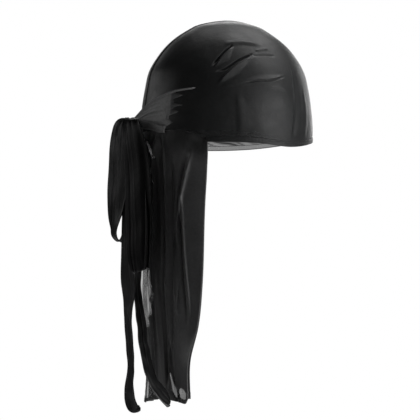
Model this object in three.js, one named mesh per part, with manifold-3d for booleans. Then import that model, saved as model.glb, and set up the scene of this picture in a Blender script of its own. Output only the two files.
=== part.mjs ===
// A silky durag, shaped as it is when worn and tied at the back of the head.
// Two crown panels meet along a middle seam, with a narrow hem round the brow.
// A tie wing gathers from each side to a knot behind the head. The knot holds
// a bow with two drooping loops and two tie ends, and a pleated tail hangs
// from the back edge of the crown.
// Units are millimetres. +X is the way the wearer faces, +Y is the wearer's
// left and +Z is up. The origin is the centre of the head opening, level with
// the rim at the wearer's sides.

import * as THREE from "three";
import { mergeVertices } from "three/addons/utils/BufferGeometryUtils.js";
import Module from "manifold-3d";

const wasm = await Module();
wasm.setup();

// Cloth
const CLOTH = 1.2;
const SEWN_GAP = 0.3;

// Crown
const CROWN_FRONT_REACH = 96;
const CROWN_BACK_REACH = 101;
const CROWN_HALF_BREADTH = 78;
const CROWN_HEIGHT = 141;
const CROWN_FOLD_DEPTH = 1.6;

// Middle seam and brow hem
const SEAM_WIDTH = 3.2;
const SEAM_HEIGHT = 1.4;
const HEM_HEIGHT = 5;
const HEM_THICKNESS = 1.8;
const HEM_END_TURN = 118;

// Tail
const TAIL_EDGE_TURN = 120;
const TAIL_SEAM_RISE = 14;
const TAIL_SEAM_BLEND_TURN = 22;
const TAIL_DROP = 284;
const TAIL_PLEAT_DEPTH = 9;
const TAIL_FOLD_RADIUS = 3;
const TAIL_HEM_HEIGHT = 8;
const TAIL_HEM_THICKNESS = 2;
const TAIL_HEM_BOW = 4;

// Tie wings
const WING_START_TURN = 126;
const WING_LEAVE_TURN = 152;
const WING_LEAVE_SHARE = 0.6;
const WING_TUCK_SHARE = 0.97;
const WING_PLEATS = 2.5;
const WING_HEIGHT = 60;
const LEFT_WING_DIP = 0.2;
const WING_STANDOFF = 0.3;
const WING_PLEAT_DEPTH = 2.2;

// Knot
const KNOT_STANDOFF = 11.5;
const KNOT_HEIGHT = 22.5;
const KNOT_RADIUS = 8.5;

// Bow loops and tie ends
const RIGHT_LOOP_DROP = 162;
const LEFT_LOOP_DROP = 129;
const LOOP_REACH = 20;
const LOOP_SPREAD = 28;
const RIGHT_LOOP_WIDTH = 35;
const LEFT_LOOP_WIDTH = 38;
const RIGHT_END_DROP = 307;
const LEFT_END_DROP = 312.5;
const END_WIDTH = 30;
const TIE_THICKNESS = 1.6;
const LOOP_CURL = -2.5;
const LOOP_BEND = 7;
const END_CURL = 2;
const END_ROUND_SHARE = 0.03;
const TIP_BLUNTNESS = 0.12;

const BACK = Math.PI;
const NORMAL_STEP = 1e-3;
const PANEL_COLUMNS = 22;
const PANEL_ROWS = 11;
const PANEL_TOP_RING = 0.94;

// One row for each level of the crown, from the rim to the top. Rise is a share
// of the crown's height, reach of its front or back reach and side of its half
// breadth.
const CROWN_SECTIONS = [
  { at: 0, rise: 0, reach: 0.985, side: 0.975 },
  { at: 1, rise: 0.14, reach: 1, side: 1 },
  { at: 2, rise: 0.3, reach: 0.987, side: 0.985 },
  { at: 3, rise: 0.45, reach: 0.955, side: 0.935 },
  { at: 4, rise: 0.59, reach: 0.908, side: 0.855 },
  { at: 5, rise: 0.715, reach: 0.802, side: 0.745 },
  { at: 6, rise: 0.82, reach: 0.668, side: 0.605 },
  { at: 7, rise: 0.905, reach: 0.5, side: 0.44 },
  { at: 8, rise: 0.965, reach: 0.321, side: 0.27 },
  { at: 9, rise: 1, reach: 0, side: 0 },
  { at: 10, rise: 0.965, reach: -0.321, side: -0.27 },
];
const CROWN_TOP = 9;

// The rim's height round the head, as a share of the crown's height, by the
// angle in degrees from the brow to the back.
const RIM_SECTIONS = [
  { at: 0, right: 0.075, left: 0.075 },
  { at: 30, right: 0.022, left: 0.042 },
  { at: 60, right: -0.021, left: 0.012 },
  { at: 90, right: 0, left: 0 },
  { at: 120, right: 0.003, left: 0.003 },
  { at: 180, right: 0.003, left: 0.003 },
];

// Broad folds in the crown's right panel. Turn is in degrees from the brow,
// lengths are shares of the crown's height and depth of the fold depth.
const CROWN_FOLDS = [
  { turn: 97, rise: 0.6, length: 0.26, width: 0.06, tilt: 38, depth: 1 },
  { turn: 66, rise: 0.5, length: 0.3, width: 0.05, tilt: 12, depth: 0.7 },
  { turn: 92, rise: 0.68, length: 0.24, width: 0.05, tilt: 50, depth: 0.8 },
];

// One row for each level of the tail. X columns are shares of the crown's back
// reach and Y columns of its half breadth. The flap is the turned-under edge on
// the right, as a share of the half sheet.
const TAIL_SECTIONS = [
  { at: 0, rightX: -0.475, rightY: -0.85, backX: -0.995, leftX: -0.475, leftY: 0.85, flap: 0.03 },
  { at: 0.1, rightX: -0.495, rightY: -0.85, backX: -0.98, leftX: -0.525, leftY: 0.84, flap: 0.14 },
  { at: 0.27, rightX: -0.525, rightY: -0.84, backX: -0.935, leftX: -0.66, leftY: 0.79, flap: 0.34 },
  { at: 0.54, rightX: -0.545, rightY: -0.81, backX: -0.89, leftX: -0.9, leftY: 0.67, flap: 0.38 },
  { at: 0.73, rightX: -0.605, rightY: -0.8, backX: -0.845, leftX: -0.86, leftY: 0.7, flap: 0.33 },
  { at: 0.86, rightX: -0.71, rightY: -0.78, backX: -0.81, leftX: -0.785, leftY: 0.745, flap: 0.14 },
  { at: 1, rightX: -0.715, rightY: -0.77, backX: -0.79, leftX: -0.805, leftY: 0.745, flap: 0.06 },
];

// The tail's pleats, from its right edge at -1 to its left edge at 1. Lean is
// how far a pleat drifts to the left down the whole length.
const TAIL_PLEATS = [
  { across: -0.6, width: 0.2, depth: 0.35, lean: 0.02 },
  { across: -0.36, width: 0.13, depth: 0.9, lean: -0.02 },
  { across: -0.08, width: 0.13, depth: 0.6, lean: 0.03 },
  { across: 0.17, width: 0.13, depth: 1, lean: -0.04 },
  { across: 0.42, width: 0.12, depth: 0.7, lean: 0.02 },
  { across: 0.66, width: 0.13, depth: 0.9, lean: -0.03 },
];

// One row for each stretch of a tie wing, from where it leaves the crown's side
// to the knot. Low and high are shares of the wing's height above the rim.
const WING_SECTIONS = [
  { at: 0, low: 0.95, high: 0.99, thick: 0.5 },
  { at: 0.2, low: 0.86, high: 0.98, thick: 0.7 },
  { at: 0.4, low: 0.62, high: 0.96, thick: 0.9 },
  { at: 0.6, low: 0.24, high: 0.9, thick: 1 },
  { at: 0.8, low: 0.27, high: 0.75, thick: 1 },
  { at: 1, low: 0.32, high: 0.48, thick: 1 },
];

// The paths of the bow loops and the tie ends, from the middle of the knot.
// Drop is a share of the piece's whole drop, back of the loops' reach and side
// of their spread. Width is a share of the piece's width, and twist turns the
// ribbon about its path, in degrees.
const RIGHT_LOOP = [
  { drop: -0.006, back: 0, side: 0.12, width: 0.2, twist: 0 },
  { drop: -0.035, back: 0.32, side: 0.34, width: 0.42, twist: 0 },
  { drop: 0.005, back: 0.5, side: 0.56, width: 0.66, twist: 0 },
  { drop: 0.127, back: 0.42, side: 0.76, width: 0.86, twist: 0 },
  { drop: 0.367, back: 0.26, side: 0.9, width: 1, twist: 0 },
  { drop: 0.64, back: 0.22, side: 0.94, width: 1, twist: 0 },
  { drop: 0.867, back: 0.2, side: 0.94, width: 0.9, twist: 0 },
  { drop: 0.98, back: 0.12, side: 0.94, width: 0.76, twist: 0 },
  { drop: 1, back: 0, side: 0.92, width: 0.72, twist: 0 },
  { drop: 0.96, back: -0.1, side: 0.9, width: 0.74, twist: 0 },
  { drop: 0.7, back: -0.14, side: 0.84, width: 0.8, twist: 0 },
  { drop: 0.367, back: -0.12, side: 0.7, width: 0.66, twist: 0 },
  { drop: 0.15, back: -0.08, side: 0.4, width: 0.4, twist: 0 },
  { drop: 0.05, back: -0.02, side: 0.22, width: 0.22, twist: 0 },
];
const LEFT_LOOP = [
  { drop: -0.007, back: 0, side: 0.12, width: 0.16, twist: 0 },
  { drop: -0.04, back: 0.36, side: 0.34, width: 0.4, twist: 0 },
  { drop: 0.02, back: 0.6, side: 0.46, width: 0.75, twist: 0 },
  { drop: 0.19, back: 0.66, side: 0.56, width: 1, twist: 0 },
  { drop: 0.46, back: 0.7, side: 0.64, width: 1, twist: 0 },
  { drop: 0.7, back: 0.78, side: 0.69, width: 0.88, twist: 0 },
  { drop: 0.86, back: 0.84, side: 0.77, width: 0.7, twist: 14 },
  { drop: 0.955, back: 0.76, side: 0.83, width: 0.56, twist: 20 },
  { drop: 1, back: 0.4, side: 0.9, width: 0.46, twist: 14 },
  { drop: 0.955, back: 0.06, side: 0.95, width: 0.44, twist: 6 },
  { drop: 0.74, back: -0.16, side: 0.95, width: 0.5, twist: 0 },
  { drop: 0.42, back: -0.2, side: 0.8, width: 0.5, twist: 0 },
  { drop: 0.18, back: -0.1, side: 0.45, width: 0.35, twist: 0 },
  { drop: 0.06, back: -0.02, side: 0.24, width: 0.2, twist: 0 },
];
const RIGHT_END = [
  { drop: 0.01, back: -0.12, side: 0.02, width: 0.2, twist: 0 },
  { drop: 0.06, back: -0.36, side: 0.02, width: 0.35, twist: 0 },
  { drop: 0.2, back: -0.44, side: 0, width: 0.75, twist: 0 },
  { drop: 0.36, back: -0.44, side: -0.06, width: 0.8, twist: 0 },
  { drop: 0.5, back: -0.36, side: -0.18, width: 0.8, twist: 0 },
  { drop: 0.57, back: -0.34, side: -0.08, width: 0.72, twist: 0 },
  { drop: 0.645, back: -0.34, side: 0, width: 0.66, twist: 0 },
  { drop: 0.716, back: -0.34, side: 0.08, width: 0.7, twist: 0 },
  { drop: 0.792, back: -0.42, side: 0.12, width: 0.76, twist: 0 },
  { drop: 0.853, back: -0.56, side: 0.28, width: 0.76, twist: -4 },
  { drop: 0.915, back: -0.76, side: 0.52, width: 0.74, twist: -8 },
  { drop: 0.962, back: -1.02, side: 1, width: 0.72, twist: -12 },
  { drop: 1, back: -1.28, side: 1.8, width: 0.66, twist: -14 },
];
const LEFT_END = [
  { drop: 0.015, back: 0.05, side: 0.06, width: 0.25, twist: 0 },
  { drop: 0.08, back: 0.24, side: 0.08, width: 0.4, twist: -6 },
  { drop: 0.2, back: 0.32, side: 0.04, width: 0.5, twist: -10 },
  { drop: 0.37, back: 0.32, side: 0.02, width: 0.68, twist: -12 },
  { drop: 0.5, back: 0.32, side: 0.02, width: 0.78, twist: -12 },
  { drop: 0.595, back: 0.2, side: 0.03, width: 1, twist: -2 },
  { drop: 0.66, back: 0.22, side: 0.06, width: 0.74, twist: 0 },
  { drop: 0.71, back: 0.22, side: 0.06, width: 0.62, twist: 0 },
  { drop: 0.77, back: 0.15, side: 0.02, width: 0.69, twist: 0 },
  { drop: 0.82, back: 0.12, side: 0, width: 0.61, twist: 0 },
  { drop: 0.865, back: 0.1, side: 0, width: 0.57, twist: 0 },
  { drop: 0.91, back: 0.18, side: 0.02, width: 0.69, twist: 0 },
  { drop: 0.95, back: 0.17, side: 0.03, width: 0.68, twist: -6 },
  { drop: 0.978, back: 0.12, side: 0.02, width: 0.56, twist: -20 },
  { drop: 0.996, back: 0, side: 0, width: 0.42, twist: -50 },
  { drop: 1, back: -0.2, side: 0, width: 0.33, twist: -74 },
  { drop: 0.994, back: -0.38, side: -0.02, width: 0.28, twist: -84 },
];

// A table's column at a place between its rows, on one smooth curve.
function column(rows, key, at) {
  let k = 0;
  while (k < rows.length - 2 && at > rows[k + 1].at) k += 1;
  const a = rows[k];
  const b = rows[k + 1];
  const before = rows[Math.max(k - 1, 0)];
  const after = rows[Math.min(k + 2, rows.length - 1)];
  const span = b.at - a.at;
  const t = (at - a.at) / span;
  const slopeA = ((b[key] - before[key]) / (b.at - before.at)) * span;
  const slopeB = ((after[key] - a[key]) / (after.at - a.at)) * span;
  const t2 = t * t;
  const t3 = t2 * t;
  return (
    (2 * t3 - 3 * t2 + 1) * a[key] +
    (t3 - 2 * t2 + t) * slopeA +
    (3 * t2 - 2 * t3) * b[key] +
    (t3 - t2) * slopeB
  );
}

const radians = THREE.MathUtils.degToRad;
const degrees = THREE.MathUtils.radToDeg;
const smoothstep = THREE.MathUtils.smoothstep;
const lerp = THREE.MathUtils.lerp;

function range(count, from = 0, to = 1) {
  return Array.from({ length: count + 1 }, (_, k) => lerp(from, to, k / count));
}

// A smooth bump, 1 in its middle and 0 from one width away.
function bump(x) {
  return Math.abs(x) < 1 ? Math.cos((Math.PI / 2) * x) ** 2 : 0;
}

// The unit normal of a surface given by a function of two values.
function normalOf(surface, u, v) {
  const du = surface(u + NORMAL_STEP, v).sub(surface(u - NORMAL_STEP, v));
  const dv = surface(u, v + NORMAL_STEP).sub(surface(u, v - NORMAL_STEP));
  return du.cross(dv).normalize();
}

// A closed solid from two grids of points, its two faces. Where the last row
// of each grid is one point, the solid closes to a pole there.
function solidBetween(front, rear, pole = false) {
  const columns = front.length - 1;
  const rows = front[0].length - 1;
  const points = [];
  const triangles = [];
  const number = (grid) =>
    grid.map((line, i) =>
      line.map((p, j) => {
        if (pole && j === rows && i > 0) return -1;
        points.push(p.x, p.y, p.z);
        return points.length / 3 - 1;
      }),
    );
  const faces = [number(front), number(rear)];
  if (pole) {
    faces.forEach((face) => face.forEach((line) => (line[rows] = face[0][rows])));
  }
  const quad = (a, b, c, d) => {
    if (a !== b && b !== c) triangles.push(a, b, c);
    if (a !== d && d !== c) triangles.push(a, c, d);
  };
  const [f, r] = faces;
  for (let i = 0; i < columns; i += 1) {
    for (let j = 0; j < rows; j += 1) {
      quad(f[i][j], f[i + 1][j], f[i + 1][j + 1], f[i][j + 1]);
      quad(r[i][j], r[i][j + 1], r[i + 1][j + 1], r[i + 1][j]);
    }
    quad(r[i][0], r[i + 1][0], f[i + 1][0], f[i][0]);
    if (!pole) quad(f[i][rows], f[i + 1][rows], r[i + 1][rows], r[i][rows]);
  }
  for (let j = 0; j < rows; j += 1) {
    quad(f[0][j], f[0][j + 1], r[0][j + 1], r[0][j]);
    quad(r[columns][j], r[columns][j + 1], f[columns][j + 1], f[columns][j]);
  }
  return facingOut(points, triangles);
}

// A geometry from points and triangles, turned so that its faces point out.
function facingOut(points, triangles) {
  const corner = (k) => new THREE.Vector3().fromArray(points, 3 * triangles[k]);
  let volume = 0;
  for (let k = 0; k < triangles.length; k += 3) {
    volume += corner(k).dot(corner(k + 1).cross(corner(k + 2)));
  }
  const geometry = new THREE.BufferGeometry();
  geometry.setAttribute("position", new THREE.Float32BufferAttribute(points, 3));
  geometry.setIndex(volume < 0 ? triangles.toReversed() : triangles);
  return geometry;
}

// A sheet of cloth: a surface thickened by the same amount on each side.
function sheetSolid(surface, across, down, thickness) {
  const side = (sign) =>
    across.map((u) =>
      down.map((v) => {
        const offset = (sign * thickness(u, v)) / 2;
        return surface(u, v).addScaledVector(normalOf(surface, u, v), offset);
      }),
    );
  return solidBetween(side(1), side(-1));
}

// A ribbon or strip: a closed section carried along a list of stations.
function stripSolid(sections) {
  const count = sections[0].length;
  const points = sections.flat().flatMap((p) => [p.x, p.y, p.z]);
  const triangles = [];
  for (let k = 0; k < sections.length - 1; k += 1) {
    for (let j = 0; j < count; j += 1) {
      const next = (j + 1) % count;
      const [a, b] = [k * count + j, k * count + next];
      triangles.push(a, b, b + count, a, b + count, a + count);
    }
  }
  const last = (sections.length - 1) * count;
  for (let j = 0; j < count / 2 - 1; j += 1) {
    const [a, b, c, d] = [j, j + 1, count - 2 - j, count - 1 - j];
    triangles.push(a, c, b, a, d, c);
    triangles.push(last + a, last + b, last + c, last + a, last + c, last + d);
  }
  return facingOut(points, triangles);
}

function toManifold(geometry) {
  const merged = mergeVertices(geometry, 1e-4);
  return new wasm.Manifold(
    new wasm.Mesh({
      numProp: 3,
      vertProperties: merged.attributes.position.array,
      triVerts: new Uint32Array(merged.index.array),
    }),
  );
}

function toGeometry(solid) {
  const mesh = solid.getMesh();
  const geometry = new THREE.BufferGeometry();
  geometry.setAttribute(
    "position",
    new THREE.BufferAttribute(new Float32Array(mesh.vertProperties), 3),
  );
  geometry.setIndex(new THREE.BufferAttribute(new Uint32Array(mesh.triVerts), 1));
  return geometry;
}

// The rim's height at an angle from the brow, positive to the wearer's left.
function rimHeight(turn) {
  const side = turn < 0 ? "right" : "left";
  return column(RIM_SECTIONS, side, Math.abs(degrees(turn))) * CROWN_HEIGHT;
}

// The crown panels' lower edge: above the hem at the brow and the sides, and
// higher at the back, where the tail is sewn on.
function crownEdge(turn) {
  const away = Math.abs(degrees(turn));
  const climb = smoothstep(away, TAIL_EDGE_TURN, TAIL_EDGE_TURN + TAIL_SEAM_BLEND_TURN);
  return lerp(rimHeight(turn) + HEM_HEIGHT, TAIL_SEAM_RISE, climb);
}

// The level of the crown's table at a height above the origin.
function levelAt(height) {
  const share = Math.max(height / CROWN_HEIGHT, 0);
  let [low, high] = [0, CROWN_TOP];
  for (let k = 0; k < 24; k += 1) {
    const middle = (low + high) / 2;
    if (column(CROWN_SECTIONS, "rise", middle) < share) low = middle;
    else high = middle;
  }
  return low;
}

// How far the crown reaches from the origin, to its front or to its back.
function headReach(turn) {
  return Math.cos(turn) > 0 ? CROWN_FRONT_REACH : CROWN_BACK_REACH;
}

function crownFolds(turn, rise) {
  let out = 0;
  for (const fold of CROWN_FOLDS) {
    const along = (radians(-fold.turn) - turn) * (CROWN_FRONT_REACH / CROWN_HEIGHT);
    const up = rise - fold.rise;
    const tilt = radians(fold.tilt);
    const x = (-along * Math.cos(tilt) + up * Math.sin(tilt)) / fold.length;
    const y = (along * Math.sin(tilt) + up * Math.cos(tilt)) / fold.width;
    out += fold.depth * bump(x) * bump(y);
  }
  return out * CROWN_FOLD_DEPTH;
}

// The crown's outer face. Climb runs from 0 at the panels' lower edge to 1.
function crownSurface(turn, climb) {
  const edge = crownEdge(turn);
  const start = levelAt(edge);
  const level = lerp(start, CROWN_TOP, climb);
  const reach = column(CROWN_SECTIONS, "reach", level) * headReach(turn);
  const side = column(CROWN_SECTIONS, "side", level) * CROWN_HALF_BREADTH;
  const rise = column(CROWN_SECTIONS, "rise", level) * CROWN_HEIGHT;
  const below = Math.min(edge, 0) * Math.max(1 - 3 * climb, 0);
  const swell = 1 + crownFolds(turn, rise / CROWN_HEIGHT) / CROWN_HALF_BREADTH;
  return new THREE.Vector3(
    reach * Math.cos(turn) * swell,
    side * Math.sin(turn) * swell,
    rise + below,
  );
}

// The crown's outline at a height, moved out from its outer face.
function crownPlan(turn, height, out = 0) {
  const level = levelAt(height);
  const reach = column(CROWN_SECTIONS, "reach", level) * headReach(turn);
  const side = column(CROWN_SECTIONS, "side", level) * CROWN_HALF_BREADTH;
  const along = new THREE.Vector2(Math.cos(turn) / reach, Math.sin(turn) / side);
  along.normalize();
  return new THREE.Vector3(
    reach * Math.cos(turn) + along.x * out,
    side * Math.sin(turn) + along.y * out,
    height,
  );
}

// The rows of a crown panel, from its lower edge to the top.
function panelClimbs() {
  return [...range(PANEL_ROWS, 0, PANEL_TOP_RING), 1];
}

// One half of the crown, from the brow to the back. Sign is -1 on the right.
function crownPanel(sign) {
  const turns = range(PANEL_COLUMNS, 0, sign * BACK);
  const half = SEWN_GAP / 2;
  const atSeam = (p) => p.setY(sign * Math.max(sign * p.y, half));
  const face = (depth) =>
    turns.map((turn) =>
      panelClimbs().map((climb) => {
        const p = crownSurface(turn, climb);
        const top = climb === 1;
        const n = top ? new THREE.Vector3(0, 0, 1) : normalOf(crownSurface, turn, climb);
        return atSeam(p.addScaledVector(n, -depth * Math.sign(n.dot(p) || 1)));
      }),
    );
  return solidBetween(face(0), face(CLOTH), true);
}

// The raised seam where the two crown panels meet, from the brow to the tail.
function crownSeam() {
  const sections = [];
  const station = (turn, climb) => {
    const p = crownSurface(turn, climb);
    const onTop = climb > 0.999;
    const n = onTop ? new THREE.Vector3(0, 0, 1) : normalOf(crownSurface, turn, climb);
    if (n.dot(p) < 0) n.negate();
    n.setY(0).normalize();
    const corner = (y, out) =>
      new THREE.Vector3(p.x, y, p.z).addScaledVector(n, SEWN_GAP + out);
    const half = SEAM_WIDTH / 2;
    sections.push([
      corner(-half, 0),
      corner(-half / 2, SEAM_HEIGHT),
      corner(half / 2, SEAM_HEIGHT),
      corner(half, 0),
    ]);
  };
  panelClimbs().forEach((climb) => station(0, climb));
  panelClimbs().toReversed().slice(1).forEach((climb) => station(BACK, climb));
  return stripSolid(sections);
}

// The folded hem below the crown panels, round the brow from ear to ear.
function browHem() {
  const end = radians(HEM_END_TURN);
  const sections = range(40, -end, end).map((turn) => {
    const low = rimHeight(turn);
    const high = crownEdge(turn) - SEWN_GAP;
    const proud = (HEM_THICKNESS - CLOTH) / 2;
    const corner = (height, out) => crownPlan(turn, Math.max(height, 0), out).setZ(height);
    return [
      corner(high, proud),
      corner(low, proud),
      corner(low, proud - HEM_THICKNESS),
      corner(high, proud - HEM_THICKNESS),
    ];
  });
  return stripSolid(sections);
}

// How far the tail's cloth lies in from its smooth outline, in the pleats.
function tailPleats(across, fall) {
  let depth = 0;
  for (const pleat of TAIL_PLEATS) {
    depth += pleat.depth * bump((across - pleat.across - pleat.lean * fall) / pleat.width);
  }
  return depth * TAIL_PLEAT_DEPTH * smoothstep(fall, 0.05, 0.3) * lerp(1, 0.75, fall);
}

// The tail's smooth outline at one level, without its pleats.
function tailOutline(across, fall) {
  const pick = (key) => column(TAIL_SECTIONS, key, fall);
  const toLeft = smoothstep(across, -0.35, 0.35);
  const edgeX = lerp(pick("rightX"), pick("leftX"), toLeft) * CROWN_BACK_REACH;
  const edgeY = lerp(-pick("rightY"), pick("leftY"), toLeft) * CROWN_HALF_BREADTH;
  const backX = pick("backX") * CROWN_BACK_REACH;
  const swing = radians(180 - TAIL_EDGE_TURN);
  const turn = (across < 0 ? -BACK : BACK) - across * swing;
  const top = crownEdge(turn) - 2 * SEWN_GAP;
  const bottom = -TAIL_DROP + TAIL_HEM_BOW * (1 - across * across);
  const sewn = crownPlan(turn, Math.max(top, 0), -CLOTH / 2);
  const bend = (1 - Math.cos(across * swing)) / (1 - Math.cos(swing));
  const x = backX + (edgeX - backX) * bend;
  const y = (edgeY * Math.sin(across * swing)) / Math.sin(swing);
  const free = smoothstep(fall, 0, 0.12);
  return new THREE.Vector3(
    lerp(sewn.x, x, free),
    lerp(sewn.y, y, free),
    lerp(top, bottom, fall),
  );
}

// The direction out of the tail's smooth outline, level with the ground.
function tailOutward(across, fall) {
  const ahead = tailOutline(across + NORMAL_STEP, fall);
  const along = ahead.sub(tailOutline(across - NORMAL_STEP, fall));
  return new THREE.Vector3(-along.y, along.x, 0).normalize();
}

// The tail's middle surface. Across runs from -1 at the folded right edge to 1
// at the left edge. From -1 to -2 it goes round the fold, and from -2 to -3
// along the flap that is turned under.
function tailSurface(across, fall) {
  const clamped = Math.max(across, -1);
  const radius = TAIL_FOLD_RADIUS * lerp(0.35, 1, smoothstep(fall, 0, 0.15));
  if (across > -1) {
    const out = tailOutward(clamped, fall);
    return tailOutline(clamped, fall).addScaledVector(out, -tailPleats(clamped, fall));
  }
  if (across > -2) {
    const angle = (-1 - across) * Math.PI;
    const out = tailOutward(-1, fall);
    const forward = new THREE.Vector3(-out.y, out.x, 0).negate();
    return tailOutline(-1, fall)
      .addScaledVector(out, radius * (Math.cos(angle) - 1))
      .addScaledVector(forward, radius * Math.sin(angle));
  }
  const under = -1 + (-2 - across) * column(TAIL_SECTIONS, "flap", fall);
  const depth = tailPleats(under, fall) + 2 * radius;
  return tailOutline(under, fall).addScaledVector(tailOutward(under, fall), -depth);
}

function tail() {
  const across = [...range(4, -3, -2), ...range(4, -2, -1).slice(1)];
  across.push(...range(38, -1, 1).slice(1));
  const hem = TAIL_HEM_HEIGHT / TAIL_DROP;
  const down = [...range(11, 0, 1 - 1.6 * hem), 1 - hem, 1];
  const thickness = (_, fall) => (fall > 1 - 1.2 * hem ? TAIL_HEM_THICKNESS : CLOTH);
  return sheetSolid(tailSurface, across, down, thickness);
}

// A tie wing's middle surface. Along runs from the crown's side to the knot,
// and up from the wing's lower edge to its upper edge. Sign is -1 on the right.
function wingSurface(sign, along, up) {
  const pick = (key) => column(WING_SECTIONS, key, along);
  const low = pick("low") * WING_HEIGHT;
  const dip = sign > 0 ? LEFT_WING_DIP * bump((along - 0.75) / 0.35) : 0;
  const high = (pick("high") - dip) * WING_HEIGHT;
  const height = lerp(low, high, up);
  const out = WING_STANDOFF + CLOTH / 2;
  const gather = WING_PLEAT_DEPTH * smoothstep(along, 0.2, 0.8) * lerp(1, 0.55, along);
  const pleat = gather * (1 + Math.cos(2 * Math.PI * (WING_PLEATS * up + 0.15 * sign)));
  const held = Math.min(along / WING_LEAVE_SHARE, 1);
  const turn = sign * radians(lerp(WING_START_TURN, WING_LEAVE_TURN, held));
  const onHead = crownPlan(turn, Math.max(height, 0), out + pleat);
  const knot = knotCentre();
  const free = Math.max(along - WING_LEAVE_SHARE, 0) / (1 - WING_LEAVE_SHARE);
  return new THREE.Vector3(
    lerp(onHead.x, knot.x, free),
    lerp(onHead.y, knot.y, free),
    height,
  );
}

function tieWing(sign) {
  const onHead = range(9, 0, WING_LEAVE_SHARE);
  const toKnot = range(5, WING_LEAVE_SHARE, WING_TUCK_SHARE).slice(1);
  const surface = (a, u) => wingSurface(sign, a, u);
  const thickness = (a) => CLOTH * column(WING_SECTIONS, "thick", a);
  const wing = sheetSolid(surface, [...onHead, ...toKnot], range(10), thickness);
  return toGeometry(toManifold(wing).subtract(knotSolid(SEWN_GAP)));
}

function knotCentre() {
  return new THREE.Vector3(-CROWN_BACK_REACH - KNOT_STANDOFF, 0, KNOT_HEIGHT);
}

// The knot: a lump of wound cloth with two grooves between its turns.
function knotGeometry(grow) {
  const geometry = new THREE.SphereGeometry(1, 18, 12);
  geometry.deleteAttribute("normal");
  geometry.deleteAttribute("uv");
  const merged = mergeVertices(geometry, 1e-4);
  const points = merged.attributes.position;
  const p = new THREE.Vector3();
  for (let k = 0; k < points.count; k += 1) {
    p.fromBufferAttribute(points, k);
    const groove = bump((p.y + 0.45 * p.z) / 0.28) + bump((p.y - 0.8 * p.z - 0.5) / 0.25);
    const radius = KNOT_RADIUS * (1 - 0.12 * groove) + grow;
    p.set(p.x * 0.95, p.y * 1.08, p.z).multiplyScalar(radius);
    points.setXYZ(k, p.x, p.y, p.z);
  }
  const centre = knotCentre();
  return merged.translate(centre.x, centre.y, centre.z);
}

function knotSolid(grow) {
  return toManifold(knotGeometry(grow));
}

// A ribbon along a table's path, from the middle of the knot, and cut off
// where it goes into the knot. Facing is the way its width runs, in degrees
// from the wearer's left towards the brow. Curl lifts both edges, bend turns the
// one away from the wearer's left in, and round is the share of the path over
// which the end narrows to its rounded tip.
function tieRibbon(rows, { sign, drop, width, facing, curl, bend = 0, round = 1e-6, count }) {
  const centre = knotCentre();
  const at = rows.map((row, k) => ({ ...row, at: k / (rows.length - 1) }));
  const place = (t) =>
    new THREE.Vector3(
      centre.x - column(at, "back", t) * LOOP_REACH,
      centre.y + sign * column(at, "side", t) * LOOP_SPREAD,
      centre.z - column(at, "drop", t) * drop,
    );
  const reach = radians(facing);
  const widthways = new THREE.Vector3(Math.sin(reach), Math.cos(reach), 0);
  const sections = range(count).map((t) => {
    const here = place(t);
    const tangent = place(t + NORMAL_STEP).sub(place(t - NORMAL_STEP)).normalize();
    const across = widthways.clone().addScaledVector(tangent, -widthways.dot(tangent));
    across.normalize().applyAxisAngle(tangent, radians(column(at, "twist", t)));
    const out = new THREE.Vector3().crossVectors(tangent, across);
    const tip = Math.sqrt(Math.min((1 - t) / round + TIP_BLUNTNESS, 1));
    const half = (column(at, "width", t) * width * tip) / 2;
    const point = (share, offset) => {
      const bow = curl * (half / width) * 2 * (share * share - 0.35);
      const turned = bend * smoothstep(-share, -0.2, 1) ** 2 * (half / width) * 2;
      return here
        .clone()
        .addScaledVector(across, share * half)
        .addScaledVector(out, bow + turned + offset);
    };
    const shares = range(5, -1, 1);
    const upper = shares.map((share) => point(share, TIE_THICKNESS / 2));
    const lower = shares.toReversed().map((share) => point(share, -TIE_THICKNESS / 2));
    return [...upper, ...lower];
  });
  return toGeometry(toManifold(stripSolid(sections)).subtract(knotSolid(SEWN_GAP)));
}

function rightLoop() {
  const shape = { sign: -1, drop: RIGHT_LOOP_DROP, width: RIGHT_LOOP_WIDTH };
  return tieRibbon(RIGHT_LOOP, { ...shape, facing: -20, curl: LOOP_CURL, bend: LOOP_BEND, count: 30 });
}

function leftLoop() {
  const shape = { sign: 1, drop: LEFT_LOOP_DROP, width: LEFT_LOOP_WIDTH };
  return tieRibbon(LEFT_LOOP, { ...shape, facing: -8, curl: LOOP_CURL, count: 30 });
}

function rightEnd() {
  const shape = { sign: -1, drop: RIGHT_END_DROP, width: END_WIDTH, round: END_ROUND_SHARE };
  return tieRibbon(RIGHT_END, { ...shape, facing: 0, curl: END_CURL, count: 28 });
}

function leftEnd() {
  const shape = { sign: 1, drop: LEFT_END_DROP, width: END_WIDTH, round: END_ROUND_SHARE };
  return tieRibbon(LEFT_END, { ...shape, facing: -6, curl: -END_CURL, count: 28 });
}

const satin = (color) =>
  new THREE.MeshStandardMaterial({ color, roughness: 0.42, metalness: 0 });

const durag = new THREE.Group();
function add(name, geometry, color) {
  const mesh = new THREE.Mesh(geometry, satin(color));
  mesh.name = name;
  durag.add(mesh);
}

add("crown_right", crownPanel(-1), 0x1b1b1c);
add("crown_left", crownPanel(1), 0x1b1b1c);
add("crown_seam", crownSeam(), 0x161617);
add("brow_hem", browHem(), 0x161617);
add("tail", tail(), 0x19191a);
add("tie_wing_right", tieWing(-1), 0x1b1b1c);
add("tie_wing_left", tieWing(1), 0x1b1b1c);
add("tie_knot", knotGeometry(0), 0x141415);
add("bow_loop_right", rightLoop(), 0x151516);
add("bow_loop_left", leftLoop(), 0x151516);
add("tie_end_right", rightEnd(), 0x151516);
add("tie_end_left", leftEnd(), 0x151516);

export default durag;
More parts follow.
